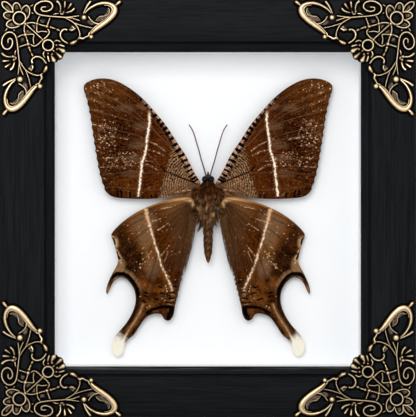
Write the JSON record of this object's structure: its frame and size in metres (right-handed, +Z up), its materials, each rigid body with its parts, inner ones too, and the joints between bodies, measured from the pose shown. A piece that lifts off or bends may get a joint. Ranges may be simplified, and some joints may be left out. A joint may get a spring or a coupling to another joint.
{
  "type": "framed moth specimen",
  "caption": "Set swallow-tailed moth on a white board behind glass, in a black wooden box frame with antique brass filigree corners; stands on its bottom rail or hangs flat.",
  "frame": {"origin": "under the middle of the whole object, on the surface that the frame stands on", "axes": "+Z up along the frame's height, -Y out of the glass towards the viewer, +X to the viewer's right"},
  "size_m": [0.203, 0.0376, 0.207],
  "materials": {
    "black_wood": "black stain, satin, worn through a little along the inner lip",
    "clear_glass": "clear picture glass",
    "white_foam_board": "matt white",
    "white_mount_board": "matt cool white",
    "brown_hardboard": "raw brown hardboard",
    "zinc_steel": "zinc plated",
    "brassed_steel": "brass plated steel",
    "antique_brass": "cast, bright ridges over a black patina",
    "moth_fur": "brown fur-like scales",
    "moth_wing": "thin wing membrane with brown, black and white scales",
    "moth_antenna": "dull brown horn"
  },
  "bodies": {
    "root": {"frame_rail_top": "black_wood", "frame_rail_bottom": "black_wood", "frame_rail_left": "black_wood", "frame_rail_right": "black_wood", "glass_pane": "clear_glass", "spacer_top": "white_foam_board", "spacer_bottom": "white_foam_board", "spacer_left": "white_foam_board", "spacer_right": "white_foam_board", "mount_board": "white_mount_board", "back_panel": "brown_hardboard", "framers_point_left_1": "zinc_steel", "framers_point_left_2": "zinc_steel", "framers_point_right_1": "zinc_steel", "framers_point_right_2": "zinc_steel", "framers_point_bottom_1": "zinc_steel", "framers_point_bottom_2": "zinc_steel", "framers_point_top_1": "zinc_steel", "framers_point_top_2": "zinc_steel", "sawtooth_hanger": "brassed_steel", "hanger_rivet_left": "brassed_steel", "hanger_rivet_right": "brassed_steel", "corner_ornament_top_left": "antique_brass", "corner_ornament_top_right": "antique_brass", "corner_ornament_bottom_left": "antique_brass", "corner_ornament_bottom_right": "antique_brass", "moth_body": "moth_fur", "moth_forewing_left": "moth_wing", "moth_hindwing_left": "moth_wing", "moth_antenna_left": "moth_antenna", "moth_forewing_right": "moth_wing", "moth_hindwing_right": "moth_wing", "moth_antenna_right": "moth_antenna"}
  },
  "joints": []
}
